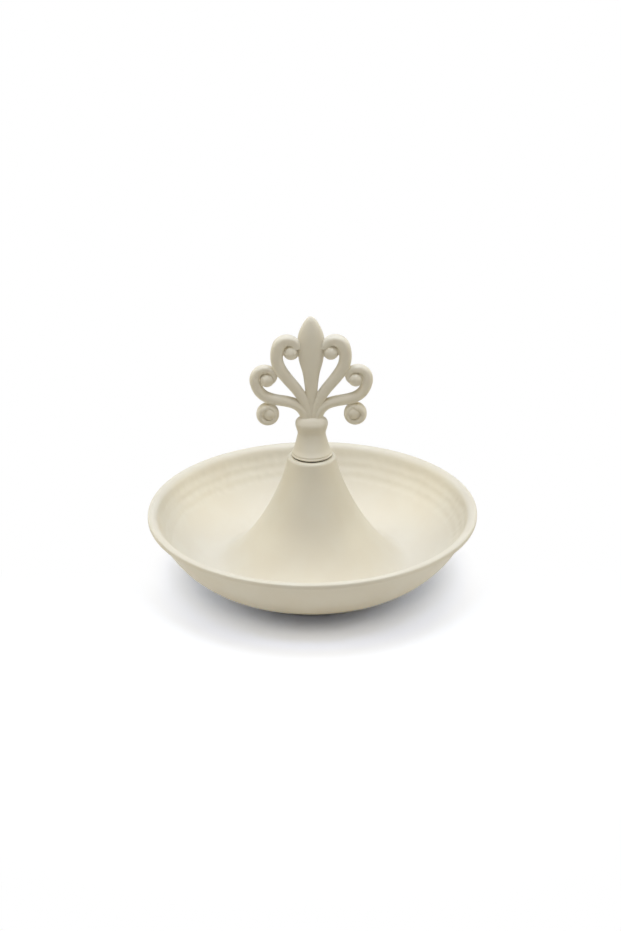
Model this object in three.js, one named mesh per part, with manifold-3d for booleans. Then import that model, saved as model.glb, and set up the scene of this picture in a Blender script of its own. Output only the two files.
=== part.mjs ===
// Round footed serving dish in coated cast metal, with a trumpet-shaped centre that carries a scroll finial.
// Millimetres, +Z up. The origin is on the surface that the dish stands on, below the dish's axis.
// The scrolls of the finial lie in the XZ plane and face -Y.

import * as THREE from 'three';
import { mergeVertices } from 'three/addons/utils/BufferGeometryUtils.js';
import Module from 'manifold-3d';

const wasm = await Module();
wasm.setup();

// Dish: wall and its hammered bands
const RIM_RADIUS = 125;
const RIM_HEIGHT = 54.8;
const WALL = 3;
const WALL_SLOPE = 70;
const WALL_CURL = 24;
const WALL_SPREAD = 16;
const BAND_COUNT = 3;
const BAND_WIDTH = 8.3;
const BAND_DEPTH = 0.35;

// Dish: the lip, which rolls over outwards from the top of the wall and ends in an upright edge
const LIP_WIDTH = 7.9;
const LIP_RISE = 4.6;
const LIP_CURL = 5.4;
const LIP_REACH = 3;
const LIP_DROOP = 0.3;
const LIP_TILT = 4;
const EDGE_HEIGHT = 4.6;
const EDGE_ROUND = 1.4;

// Dish: trough, trumpet and its flat top
const TROUGH_RADIUS = 74;
const TROUGH_HEIGHT = 10;
const TROUGH_SPREAD = 18;
const TOP_HEIGHT = 98;
const TOP_RADIUS = 18.3;
const TOP_PLATE = 4;
const SHOULDER = 2.6;
const TRUMPET_REACH = 30;
const TRUMPET_FLARE = 9;

// Foot ring and its pads
const FOOT_RADIUS = 72;
const FOOT_WIDTH = 7;
const FOOT_DRAFT = 0.8;
const PAD_COUNT = 4;
const PAD_MARGIN = 0.3;
const PAD_HEIGHT = 1.6;
const PAD_EDGE = 0.5;
const PAD_FIRST_ANGLE = 45;

// Fixing screw and its washers
const SCREW_RADIUS = 3;
const SCREW_LENGTH = 20;
const SCREW_CHAMFER = 0.7;
const HEAD_RADIUS = 5.25;
const HEAD_HEIGHT = 3.3;
const HEAD_CROWN = 0.55;
const KEY_FLATS = 4;
const KEY_DEPTH = 2;
const KEY_SIDES = 6;
const FLAT_WASHER_RADIUS = 9;
const FLAT_WASHER_THICKNESS = 1.6;
const SPRING_WASHER_RADIUS = 5.9;
const SPRING_WASHER_THICKNESS = 1.6;
const SPRING_WASHER_SPLIT = 14;
const CLEARANCE = 0.3;

// Seat between trumpet and finial
const GASKET_THICKNESS = 0.9;
const GASKET_INSET = 0.9;

// Finial: the bore for its screw
const BORE_SPARE = 3;
const BORE_POINT = 1.8;

// Finial: its forms are drawn to the sizes in these tables and scaled to this height. Heights are above its
// foot, and widths and depths are counted from its axis.
const FINIAL_HEIGHT = 109.1;
const NECK = [
  { height: 0, width: 14.6, depth: 14.6, square: 2 },
  { height: 0.7, width: 15.3, depth: 15.3, square: 2 },
  { height: 5.7, width: 13.3, depth: 12.4, square: 2 },
  { height: 11.8, width: 11.6, depth: 9.6, square: 2.2 },
  { height: 16.6, width: 10.5, depth: 8.1, square: 2.5 },
  { height: 19.2, width: 10.7, depth: 7.9, square: 2.7 },
  { height: 25.1, width: 12.1, depth: 8.5, square: 2.8 },
  { height: 28.2, width: 11, depth: 7.6, square: 2.7 },
  { height: 30, width: 8.6, depth: 5.6, square: 2.4 },
];
const SPEAR = [
  { height: 24, width: 2, depth: 2, square: 2 },
  { height: 38, width: 3, depth: 3.2, square: 2 },
  { height: 51, width: 4.5, depth: 4, square: 2 },
  { height: 63.7, width: 6.1, depth: 4.5, square: 2 },
  { height: 75.5, width: 9, depth: 5.2, square: 2 },
  { height: 88, width: 9.6, depth: 5.5, square: 2 },
  { height: 93.5, width: 9.4, depth: 5.3, square: 2 },
  { height: 98.5, width: 7.9, depth: 4.8, square: 2 },
  { height: 102.6, width: 5.9, depth: 4, square: 2 },
  { height: 105.7, width: 4, depth: 3, square: 2 },
  { height: 107.7, width: 2.1, depth: 1.7, square: 2 },
  { height: 108.6, width: 0.5, depth: 0.5, square: 2 },
];

// Each scroll leaves its root on a curved stem and winds round its eye to a ball end. Angles are in degrees,
// counted from +X towards +Z, and a negative sweep winds clockwise as seen from the front. A rod's sizes are
// half its thickness at the root, towards the middle of the stem, at the crown and at the tip, and half its
// depth and its squareness at the crown.
const SCROLLS = [
  {
    root: [2, 28], rootAngle: 88, rootReach: 29, eyeReach: 24.6,
    eye: [16.6, 82.9], startRadius: 7.5, endRadius: 6.8, startAngle: 19, sweep: 150,
    rod: { root: 3.6, stem: 4.1, crown: 4.8, tip: 2.8, depth: 5.2, square: 3 },
    ball: { centre: [14.5, 81.2], radius: 5.9 },
  },
  {
    root: [3.6, 28], rootAngle: 79, rootReach: 25.6, eyeReach: 25.6,
    eye: [33, 60.2], startRadius: 8.4, endRadius: 3.4, startAngle: -10, sweep: 232,
    rod: { root: 4.2, stem: 4.1, crown: 4, tip: 1.5, depth: 5, square: 3 },
    ball: { centre: [32.6, 59.8], radius: 5.6 },
  },
  {
    root: [30.5, 42.2], rootAngle: -12, rootReach: 1.5, eyeReach: 1.5,
    eye: [32.3, 32.5], startRadius: 5.9, endRadius: 7, startAngle: 68, sweep: -325,
    rod: { root: 2.8, stem: 2.8, crown: 2.9, tip: 1.7, depth: 4.2, square: 2.2 },
    ball: { centre: [31.2, 33.6], radius: 4.9 },
  },
];
const SPIRAL_CLOSING = 3;
const ROOT_SQUARE = 2;

// How finely the round forms are divided
const ROUND_SIDES = 48;
const SMALL_SIDES = 24;
const ROD_SIDES = 10;
const BALL_SIDES = 12;
const BALL_RINGS = 7;
const STEM_STEPS = 12;
const SPIRAL_STEP = 18;
const LOFT_STEPS = 2;
const SPEAR_SIDES = 14;
const NECK_SIDES = 26;
const SHOULDER_STEPS = 4;
const TRUMPET_STEPS = 10;
const UNDERSIDE_STEPS = 7;
const TROUGH_STEPS = 4;
const BAND_STEPS = 3;
const LIP_STEPS = 6;
const EDGE_STEPS = 2;
const HEAD_STEPS = 5;
const WELD = 1e-5;

// Heights worked out from the sizes above
const footUnderside = PAD_HEIGHT;
const plateUnderside = TOP_HEIGHT - TOP_PLATE;
const springWasherTop = plateUnderside - FLAT_WASHER_THICKNESS;
const screwSeat = springWasherTop - SPRING_WASHER_THICKNESS;
const finialSeat = TOP_HEIGHT + GASKET_THICKNESS;
const finialScale = FINIAL_HEIGHT / SPEAR.at(-1).height;
const finialFootRadius = NECK[1].width * finialScale;
const boreDepth = screwSeat + SCREW_LENGTH - finialSeat + BORE_SPARE;
const holeRadius = SCREW_RADIUS + CLEARANCE;
const padRadius = FOOT_WIDTH / 2 - PAD_MARGIN;

const flat = (x, y) => new THREE.Vector2(x, y);
const polar = (length, degrees) => {
  const turn = THREE.MathUtils.degToRad(degrees);
  return flat(length * Math.cos(turn), length * Math.sin(turn));
};

const shoulderCentre = flat(TOP_RADIUS - SHOULDER, TOP_HEIGHT - SHOULDER);

// Six times the volume that a triangle mesh encloses: negative when its faces point in
function signedVolume(geometry) {
  const position = geometry.attributes.position;
  const index = geometry.index;
  const corners = [new THREE.Vector3(), new THREE.Vector3(), new THREE.Vector3()];
  let sum = 0;
  for (let i = 0; i < index.count; i += 3) {
    corners.forEach((corner, k) => corner.fromBufferAttribute(position, index.getX(i + k)));
    sum += corners[0].dot(corners[1].cross(corners[2]));
  }
  return sum;
}

// A geometry as a welded mesh of positions only, with its faces pointing out
function closed(geometry) {
  const bare = geometry.clone();
  bare.deleteAttribute('normal');
  bare.deleteAttribute('uv');
  const welded = mergeVertices(bare, WELD);
  if (signedVolume(welded) < 0) {
    welded.setIndex(Array.from(welded.index.array).reverse());
  }
  welded.computeVertexNormals();
  return welded;
}

function toSolid(geometry) {
  const welded = closed(geometry);
  const vertProperties = new Float32Array(welded.attributes.position.array);
  const triVerts = new Uint32Array(welded.index.array);
  return new wasm.Manifold(new wasm.Mesh({ numProp: 3, vertProperties, triVerts }));
}

function fromSolid(solid) {
  const { vertProperties, triVerts } = solid.getMesh();
  const geometry = new THREE.BufferGeometry();
  geometry.setAttribute('position', new THREE.BufferAttribute(new Float32Array(vertProperties), 3));
  geometry.setIndex(Array.from(triVerts));
  return closed(geometry);
}

const join = (geometries) => fromSolid(geometries.map(toSolid).reduce((whole, next) => whole.add(next)));
const cut = (geometry, tool) => fromSolid(toSolid(geometry).subtract(toSolid(tool)));

// A profile of (radius, height) points turned about the Z axis
function revolve(profile, sides) {
  return closed(new THREE.LatheGeometry(profile, sides).rotateX(Math.PI / 2));
}

function ringProfile(inner, outer, thickness) {
  const corners = [flat(inner, 0), flat(outer, 0), flat(outer, thickness), flat(inner, thickness)];
  return [...corners, corners[0]];
}

// A closed skin through rings of equally many points, capped at both ends
function loft(rings) {
  const sides = rings[0].length;
  const points = rings.flat();
  const triangles = [];
  for (let r = 0; r + 1 < rings.length; r += 1) {
    for (let s = 0; s < sides; s += 1) {
      const next = (s + 1) % sides;
      const [a, b] = [r * sides + s, r * sides + next];
      triangles.push(a, b, b + sides, a, b + sides, a + sides);
    }
  }
  const last = (rings.length - 1) * sides;
  for (let s = 1; s + 1 < sides; s += 1) {
    triangles.push(0, s + 1, s, last, last + s, last + s + 1);
  }
  const geometry = new THREE.BufferGeometry().setFromPoints(points);
  geometry.setIndex(triangles);
  return closed(geometry);
}

// A cosine or sine bent for a superellipse: square 2 leaves an ellipse, more makes it boxier
const bulge = (value, square) => Math.sign(value) * Math.abs(value) ** (2 / square);

// A superellipse ring at a height
function sectionRing({ height, width, depth, square }, sides) {
  return Array.from({ length: sides }, (_, s) => {
    const turn = (2 * Math.PI * s) / sides;
    const x = width * bulge(Math.cos(turn), square);
    return new THREE.Vector3(x, depth * bulge(Math.sin(turn), square), height);
  });
}

// An upright form through its sections, eased between them
function upright(sections, sides) {
  const ease = (key) => new THREE.SplineCurve(sections.map((section, i) => flat(i, section[key])));
  const eased = ['height', 'width', 'depth', 'square'].map((key) => [key, ease(key)]);
  const count = (sections.length - 1) * LOFT_STEPS;
  const rings = Array.from({ length: count + 1 }, (_, i) => {
    const section = Object.fromEntries(eased.map(([key, curve]) => [key, curve.getPoint(i / count).y]));
    return sectionRing(section, sides);
  });
  return loft(rings);
}

// The dish's upper surface as curves: down the trumpet to the trough, up the wall, and over the lip
function upperCurves() {
  const shoulder = shoulderCentre.clone().add(polar(SHOULDER, TRUMPET_FLARE));
  const trough = flat(TROUGH_RADIUS, TROUGH_HEIGHT);
  const wallTop = flat(RIM_RADIUS - LIP_WIDTH, RIM_HEIGHT - LIP_RISE);
  const edge = flat(RIM_RADIUS - EDGE_ROUND, RIM_HEIGHT - LIP_DROOP);
  const trumpet = new THREE.CubicBezierCurve(
    shoulder,
    shoulder.clone().add(polar(TRUMPET_REACH, TRUMPET_FLARE - 90)),
    trough.clone().sub(flat(TROUGH_SPREAD, 0)),
    trough,
  );
  const wall = new THREE.CubicBezierCurve(
    trough,
    trough.clone().add(flat(WALL_SPREAD, 0)),
    wallTop.clone().sub(polar(WALL_CURL, WALL_SLOPE)),
    wallTop,
  );
  const lip = new THREE.CubicBezierCurve(
    wallTop,
    wallTop.clone().add(polar(LIP_CURL, WALL_SLOPE)),
    edge.clone().sub(polar(LIP_REACH, -LIP_TILT)),
    edge,
  );
  return { trumpet, wall, lip };
}

// The lip's edge, rounded above and below, from where the lip's top ends to where its underside starts
function lipEdge() {
  const top = RIM_HEIGHT - LIP_DROOP;
  const bottom = top - EDGE_HEIGHT;
  const inner = RIM_RADIUS - EDGE_ROUND;
  const upper = new THREE.QuadraticBezierCurve(
    flat(inner, top),
    flat(RIM_RADIUS, top),
    flat(RIM_RADIUS, top - EDGE_ROUND),
  );
  const lower = new THREE.QuadraticBezierCurve(
    flat(RIM_RADIUS, bottom + EDGE_ROUND),
    flat(RIM_RADIUS, bottom),
    flat(inner, bottom),
  );
  return [...upper.getPoints(EDGE_STEPS), ...lower.getPoints(EDGE_STEPS)];
}

// A curve's points moved sideways, away from the upper side, by a distance that may change along the curve
function offset(curve, fractions, distance) {
  return fractions.map((u) => {
    const tangent = curve.getTangentAt(u);
    return curve.getPointAt(u).add(flat(tangent.y, -tangent.x).multiplyScalar(distance(u)));
  });
}

const evenly = (count, from = 0, to = 1) =>
  Array.from({ length: count + 1 }, (_, i) => THREE.MathUtils.lerp(from, to, i / count));

function dishGeometry() {
  const { trumpet, wall, lip } = upperCurves();
  const bandsStart = 1 - (BAND_COUNT * BAND_WIDTH) / wall.getLength();
  const troughSteps = evenly(TROUGH_STEPS, 0, bandsStart);
  const bandSteps = evenly(BAND_COUNT * BAND_STEPS, bandsStart, 1);
  const cove = (u) => {
    const band = (BAND_COUNT * (u - bandsStart)) / (1 - bandsStart);
    return BAND_DEPTH * Math.abs(Math.sin(Math.PI * band));
  };

  const shoulder = evenly(SHOULDER_STEPS, 90, TRUMPET_FLARE)
    .map((angle) => shoulderCentre.clone().add(polar(SHOULDER, angle)));
  const upper = [
    ...shoulder,
    ...offset(trumpet, evenly(TRUMPET_STEPS).slice(1), () => 0),
    ...offset(wall, troughSteps.slice(1), () => 0),
    ...offset(wall, bandSteps.slice(1), cove),
    ...offset(lip, evenly(LIP_STEPS).slice(1, -1), () => 0),
    ...lipEdge(),
  ];
  const lowerWall = offset(wall, evenly(UNDERSIDE_STEPS), () => WALL);
  const hollow = offset(trumpet, evenly(UNDERSIDE_STEPS), () => WALL);
  const lowerTrumpet = hollow.filter((point) => point.y < plateUnderside);
  const lower = [...lowerTrumpet, ...lowerWall.slice(1)].reverse();
  const plate = [flat(lowerTrumpet[0].x, plateUnderside), flat(holeRadius, plateUnderside)];
  const profile = [flat(holeRadius, TOP_HEIGHT), ...upper, ...lower, ...plate];
  const shell = revolve([...profile, profile[0]], ROUND_SIDES);
  return join([shell, footRing(trumpet)]);
}

// The foot ring under the trough, with drafted sides that run up into the middle of the casting
function footRing(trumpet) {
  const innerRadius = FOOT_RADIUS - FOOT_WIDTH;
  const [outerRoot, innerRoot] = [FOOT_RADIUS + FOOT_DRAFT, innerRadius - FOOT_DRAFT];
  const heightAt = (radius) => {
    const reached = trumpet.getPoints(ROUND_SIDES).find((point) => point.x >= radius);
    return (reached ? reached.y : TROUGH_HEIGHT) - WALL / 2;
  };
  const profile = [
    flat(innerRadius, footUnderside),
    flat(FOOT_RADIUS, footUnderside),
    flat(outerRoot, heightAt(outerRoot)),
    flat(innerRoot, heightAt(innerRoot)),
  ];
  return revolve([...profile, profile[0]], ROUND_SIDES);
}

// A scroll's centre line: the stem, then the spiral about the eye, with the rod's radius at each point
function scrollPath(scroll) {
  const eye = flat(...scroll.eye);
  const spiralAt = (t) => {
    const radius = THREE.MathUtils.lerp(scroll.startRadius, scroll.endRadius, t ** SPIRAL_CLOSING);
    return eye.clone().add(polar(radius, scroll.startAngle + scroll.sweep * t));
  };
  const arrival = polar(scroll.eyeReach, scroll.startAngle + 90 * Math.sign(scroll.sweep));
  const root = flat(...scroll.root);
  const stem = new THREE.CubicBezierCurve(
    root,
    root.clone().add(polar(scroll.rootReach, scroll.rootAngle)),
    spiralAt(0).sub(arrival),
    spiralAt(0),
  );
  const { rod } = scroll;
  const thickness = new THREE.QuadraticBezierCurve(flat(rod.root, 0), flat(rod.stem, 0), flat(rod.crown, 0));
  const onStem = evenly(STEM_STEPS).map((t) => ({
    point: stem.getPointAt(t),
    radius: thickness.getPoint(t).x,
    depth: THREE.MathUtils.lerp(rod.root, rod.depth, t),
    square: THREE.MathUtils.lerp(ROOT_SQUARE, rod.square, t),
  }));
  const turns = Math.round(Math.abs(scroll.sweep) / SPIRAL_STEP);
  const onSpiral = evenly(turns).slice(1).map((t) => {
    const radius = THREE.MathUtils.lerp(rod.crown, rod.tip, t);
    const depth = (rod.depth * (1 + radius / rod.crown)) / 2;
    return { point: spiralAt(t), radius, depth, square: rod.square };
  });
  return [...onStem, ...onSpiral];
}

// A rod along a path in the XZ plane, whose section goes from round to a box with rounded edges
function rodAlong(path, side) {
  const rings = path.map(({ point, radius, depth, square }, i) => {
    const before = path[Math.max(i - 1, 0)].point;
    const after = path[Math.min(i + 1, path.length - 1)].point;
    const along = after.clone().sub(before).normalize();
    return Array.from({ length: ROD_SIDES }, (_, s) => {
      const turn = (2 * Math.PI * s) / ROD_SIDES;
      const across = radius * bulge(Math.cos(turn), square);
      const x = point.x - along.y * across;
      return new THREE.Vector3(side * x, depth * bulge(Math.sin(turn), square), point.y + along.x * across);
    });
  });
  return loft(rings);
}

function scrollGeometries(scroll, side) {
  const [x, z] = scroll.ball.centre;
  const ball = new THREE.SphereGeometry(scroll.ball.radius, BALL_SIDES, BALL_RINGS);
  return [rodAlong(scrollPath(scroll), side), ball.translate(side * x, 0, z)];
}

function finialGeometry() {
  const scrolls = [1, -1].flatMap((side) => SCROLLS.flatMap((scroll) => scrollGeometries(scroll, side)));
  const casting = join([upright(NECK, NECK_SIDES), upright(SPEAR, SPEAR_SIDES), ...scrolls]);
  casting.scale(finialScale, finialScale, finialScale);
  const bore = revolve(
    [
      flat(0, -CLEARANCE),
      flat(holeRadius, -CLEARANCE),
      flat(holeRadius, boreDepth),
      flat(0, boreDepth + BORE_POINT),
    ],
    SMALL_SIDES,
  );
  return cut(casting, bore);
}

// Button-head screw, standing on its head with the bearing face at height 0, with a hexagon socket for a key
function screwGeometry() {
  const crownRadius = HEAD_RADIUS * HEAD_CROWN;
  const crown = new THREE.QuadraticBezierCurve(
    flat(crownRadius, -HEAD_HEIGHT),
    flat(HEAD_RADIUS, -HEAD_HEIGHT),
    flat(HEAD_RADIUS, 0),
  );
  const profile = [
    flat(0, -HEAD_HEIGHT),
    ...crown.getPoints(HEAD_STEPS),
    flat(SCREW_RADIUS, 0),
    flat(SCREW_RADIUS, SCREW_LENGTH - SCREW_CHAMFER),
    flat(SCREW_RADIUS - SCREW_CHAMFER, SCREW_LENGTH),
    flat(0, SCREW_LENGTH),
  ];
  const keyRadius = KEY_FLATS / Math.sqrt(3);
  const socket = new THREE.CylinderGeometry(keyRadius, keyRadius, 2 * KEY_DEPTH, KEY_SIDES);
  socket.rotateX(Math.PI / 2);
  socket.translate(0, 0, -HEAD_HEIGHT);
  return cut(revolve(profile, SMALL_SIDES), socket);
}

// Split ring: its gap is what lets it spring
function springWasherGeometry() {
  const half = THREE.MathUtils.degToRad(SPRING_WASHER_SPLIT / 2);
  const shape = new THREE.Shape();
  shape.absarc(0, 0, SPRING_WASHER_RADIUS, half, 2 * Math.PI - half, false);
  shape.absarc(0, 0, holeRadius, 2 * Math.PI - half, half, true);
  const options = { depth: SPRING_WASHER_THICKNESS, bevelEnabled: false, curveSegments: SMALL_SIDES };
  return closed(new THREE.ExtrudeGeometry(shape, options));
}

function padGeometry() {
  const profile = [
    flat(0, 0),
    flat(padRadius - 2 * PAD_EDGE, 0),
    flat(padRadius - PAD_EDGE / 2, PAD_EDGE),
    flat(padRadius, PAD_HEIGHT),
    flat(0, PAD_HEIGHT),
  ];
  return revolve(profile, SMALL_SIDES);
}

const coat = { color: 0xe4ddc8, roughness: 0.55, metalness: 0.05 };
const rubber = { color: 0x2a2825, roughness: 0.85, metalness: 0 };
const clearRubber = { color: 0xb9b6ac, roughness: 0.6, metalness: 0 };
const zincPlate = { color: 0xaeb0b2, roughness: 0.35, metalness: 0.9 };

function piece(name, geometry, finish, height = 0) {
  const mesh = new THREE.Mesh(geometry, new THREE.MeshStandardMaterial(finish));
  mesh.name = name;
  mesh.position.z = height;
  return mesh;
}

function footPads() {
  const circle = FOOT_RADIUS - FOOT_WIDTH / 2;
  return Array.from({ length: PAD_COUNT }, (_, i) => {
    const pad = piece(`foot_pad_${i + 1}`, padGeometry(), clearRubber);
    const place = polar(circle, PAD_FIRST_ANGLE + (360 * i) / PAD_COUNT);
    pad.position.set(place.x, place.y, 0);
    return pad;
  });
}

const gasketRadius = finialFootRadius - GASKET_INSET;
const gasket = revolve(ringProfile(holeRadius, gasketRadius, GASKET_THICKNESS), SMALL_SIDES);
const flatWasher = revolve(ringProfile(holeRadius, FLAT_WASHER_RADIUS, FLAT_WASHER_THICKNESS), SMALL_SIDES);

const base = new THREE.Group();
base.add(
  piece('dish', dishGeometry(), coat),
  piece('seat_gasket', gasket, rubber, TOP_HEIGHT),
  piece('flat_washer', flatWasher, zincPlate, springWasherTop),
  piece('spring_washer', springWasherGeometry(), zincPlate, screwSeat),
  ...footPads(),
);

const servingDish = new THREE.Group();
servingDish.add(
  base,
  piece('fixing_screw', screwGeometry(), zincPlate, screwSeat),
  piece('finial', finialGeometry(), coat, finialSeat),
);

export default servingDish;
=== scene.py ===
"""Dresses a round footed serving dish with a scroll finial, in cream-coated cast metal, on a white studio floor.

Sizes are in millimetres in the classes and turned into metres where a mesh is made. +Z is up, the origin is on the
floor below the dish's axis, and the finial's scrolls face -Y.
"""

from __future__ import annotations

import logging
import math
from dataclasses import dataclass
from enum import Enum
from typing import Any, Mapping, Sequence

import bpy
import numpy as np
from mathutils import Matrix, Vector

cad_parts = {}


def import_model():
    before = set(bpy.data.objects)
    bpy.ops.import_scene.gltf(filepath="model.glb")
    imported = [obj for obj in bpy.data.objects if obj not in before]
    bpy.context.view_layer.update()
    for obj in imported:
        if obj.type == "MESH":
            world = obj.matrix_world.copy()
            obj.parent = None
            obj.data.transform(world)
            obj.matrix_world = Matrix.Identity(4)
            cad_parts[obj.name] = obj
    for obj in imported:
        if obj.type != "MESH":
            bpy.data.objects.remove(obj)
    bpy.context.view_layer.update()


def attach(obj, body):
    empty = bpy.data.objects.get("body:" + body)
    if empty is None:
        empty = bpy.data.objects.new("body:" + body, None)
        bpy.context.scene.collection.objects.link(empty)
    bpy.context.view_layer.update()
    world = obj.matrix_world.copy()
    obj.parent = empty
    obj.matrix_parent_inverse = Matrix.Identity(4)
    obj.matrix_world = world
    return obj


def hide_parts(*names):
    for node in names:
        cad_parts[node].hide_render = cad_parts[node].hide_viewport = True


LOG = logging.getLogger("serving_dish")
MM = 0.001

Colour = tuple[float, float, float]
Faces = list[tuple[int, ...]]


def swatch(red: int, green: int, blue: int) -> Colour:
    """A colour as it is displayed, for use in a shader.

    Args:
        red: Red, from 0 to 255.
        green: Green, from 0 to 255.
        blue: Blue, from 0 to 255.

    Returns:
        The linear values that a shader takes.
    """
    shares = (red / 255, green / 255, blue / 255)
    return tuple(c / 12.92 if c <= 0.04045 else ((c + 0.055) / 1.055) ** 2.4 for c in shares)


# Shader graphs


class Signal:
    """A number that varies over a surface: a shader socket whose operators add Math nodes."""

    def __init__(self, graph: Graph, socket: bpy.types.NodeSocket) -> None:
        """Wraps one output socket of a graph."""
        self.graph = graph
        self.socket = socket

    def _math(self, operation: str, first: Signal | float, second: Signal | float) -> Signal:
        """A Math node on two values."""
        return self.graph.node("ShaderNodeMath", {"operation": operation}, {0: first, 1: second})

    def __add__(self, other: Signal | float) -> Signal:
        """self + other."""
        return self._math("ADD", self, other)

    def __radd__(self, other: float) -> Signal:
        """other + self."""
        return self._math("ADD", other, self)

    def __sub__(self, other: Signal | float) -> Signal:
        """self - other."""
        return self._math("SUBTRACT", self, other)

    def __rsub__(self, other: float) -> Signal:
        """other - self."""
        return self._math("SUBTRACT", other, self)

    def __mul__(self, other: Signal | float) -> Signal:
        """self * other."""
        return self._math("MULTIPLY", self, other)

    def __rmul__(self, other: float) -> Signal:
        """other * self."""
        return self._math("MULTIPLY", other, self)

    def at_least(self, other: Signal | float) -> Signal:
        """The larger of the two."""
        return self._math("MAXIMUM", self, other)

    def ramp(self, low: float, high: float, start: float = 0.0, end: float = 1.0) -> Signal:
        """The value eased from start to end as it goes from low to high, and held outside.

        Args:
            low: Value at which the result is start.
            high: Value at which the result is end.
            start: Result at and below low.
            end: Result at and above high.

        Returns:
            The eased value.
        """
        settings = {"interpolation_type": "SMOOTHSTEP"}
        return self.graph.node("ShaderNodeMapRange", settings, {0: self, 1: low, 2: high, 3: start, 4: end})


class Graph:
    """The node tree of a material or a world."""

    def __init__(self, owner: bpy.types.Material | bpy.types.World) -> None:
        """Empties the owner's tree, so that every node in it comes from this graph.

        Args:
            owner: The material or world whose tree it is.
        """
        owner.use_nodes = True
        self.tree = owner.node_tree
        self.tree.nodes.clear()

    def node(
        self,
        kind: str,
        settings: Mapping[str, Any] | None = None,
        inputs: Mapping[str | int, Any] | None = None,
        output: str | int = 0,
    ) -> Signal:
        """Adds a node.

        Args:
            kind: Blender's name for the node's type.
            settings: The node's own properties, set before its sockets.
            inputs: A value, or a Signal to link, for each named or numbered socket.
            output: The socket that the result carries.

        Returns:
            The chosen output of the new node, or for a node with no outputs, its first input.
        """
        made = self.tree.nodes.new(kind)
        for name, value in (settings or {}).items():
            setattr(made, name, value)
        for key, value in (inputs or {}).items():
            socket = made.inputs[key]
            if isinstance(value, Signal):
                self.tree.links.new(value.socket, socket)
            elif isinstance(value, tuple) and len(value) == 3 and socket.type == "RGBA":
                socket.default_value = (*value, 1.0)
            else:
                socket.default_value = value
        return Signal(self, made.outputs[output] if len(made.outputs) else made.inputs[0])

    def blend(self, factor: Signal | float, first: Signal | Colour, second: Signal | Colour) -> Signal:
        """A colour between two, by a factor from 0 to 1."""
        return self.node("ShaderNodeMix", {"data_type": "RGBA"}, {0: factor, 6: first, 7: second}, output=2)

    def noise(self, place: Signal, size: float, detail: float = 2.0) -> Signal:
        """Cloudy noise from 0 to 1, whose features are about size millimetres across."""
        return self.node("ShaderNodeTexNoise", None, {"Vector": place, "Scale": 1 / (size * MM), "Detail": detail})

    def bump(self, height: Signal, depth: float, strength: float) -> Signal:
        """A normal bent by a height of depth millimetres."""
        return self.node("ShaderNodeBump", None, {"Strength": strength, "Distance": depth * MM, "Height": height})

    def place(self) -> Signal:
        """The point on the object, in metres."""
        return self.node("ShaderNodeTexCoord", output="Object")

    def surface(self, shader: Signal, kind: str = "ShaderNodeOutputMaterial") -> None:
        """Makes a shader the output of the tree."""
        self.node(kind, None, {"Surface": shader})

    def coat(self, sockets: Mapping[str, Any]) -> None:
        """Ends the tree in a Principled shader with these sockets."""
        self.surface(self.node("ShaderNodeBsdfPrincipled", None, sockets))


# Finishes


@dataclass(frozen=True)
class CreamCoat:
    """Satin cream powder coat on a casting: fine orange peel, soft clouds, paler on ridges, painted shade in hollows.
    """

    colour: Colour = swatch(225, 218, 201)
    cloud: Colour = swatch(224, 216, 198)
    ridge: Colour = swatch(231, 225, 210)
    # Darker, warmer cream: painted shade for the hollows, and also the colour of the specks.
    hollow: Colour = swatch(214, 205, 184)
    roughness: float = 0.5
    cloud_size: float = 26.0
    speck_size: float = 1.1
    fine_peel: float = 0.55
    broad_peel: float = 1.9
    peel_depth: float = 0.03

    def material(self) -> bpy.types.Material:
        """The coat as a material.

        Returns:
            The new material.
        """
        made = bpy.data.materials.new("cream_coat")
        graph = Graph(made)
        place = graph.place()
        cloudy = graph.noise(place, self.cloud_size, 3.0).ramp(0.35, 0.65)
        speck = graph.noise(place, self.speck_size, 1.0).ramp(0.62, 0.78)
        turn = graph.node("ShaderNodeNewGeometry", output="Pointiness")
        colour = graph.blend(cloudy, self.colour, self.cloud)
        colour = graph.blend(turn.ramp(0.505, 0.56, 0.0, 0.7), colour, self.ridge)
        # Painted shade: concave places, where shade falls, are darkened towards the hollow colour.
        colour = graph.blend(turn.ramp(0.495, 0.44, 0.0, 0.7), colour, self.hollow)
        colour = graph.blend(speck * 0.08, colour, self.hollow)
        peel = graph.noise(place, self.fine_peel, 1.0) * 0.5 + graph.noise(place, self.broad_peel, 2.0)
        graph.coat(
            {
                "Base Color": colour,
                "Roughness": self.roughness + 0.1 * cloudy - 0.06 * speck,
                "IOR": 1.5,
                "Normal": graph.bump(peel, self.peel_depth, 0.35),
            }
        )
        return made


@dataclass(frozen=True)
class Rubber:
    """Moulded or sheet rubber with a fine grain and a dusty bloom."""

    name: str
    colour: Colour
    bloom: Colour
    roughness: float
    grain: float = 0.35
    grain_depth: float = 0.04
    dust_size: float = 3.5

    def material(self) -> bpy.types.Material:
        """The rubber as a material.

        Returns:
            The new material.
        """
        made = bpy.data.materials.new(self.name)
        graph = Graph(made)
        place = graph.place()
        dust = graph.noise(place, self.dust_size, 4.0).ramp(0.45, 0.75)
        grain = graph.noise(place, self.grain, 2.0)
        graph.coat(
            {
                "Base Color": graph.blend(dust * 0.6, self.colour, self.bloom),
                "Roughness": self.roughness + 0.12 * dust,
                "IOR": 1.52,
                "Normal": graph.bump(grain, self.grain_depth, 0.5),
            }
        )
        return made


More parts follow.
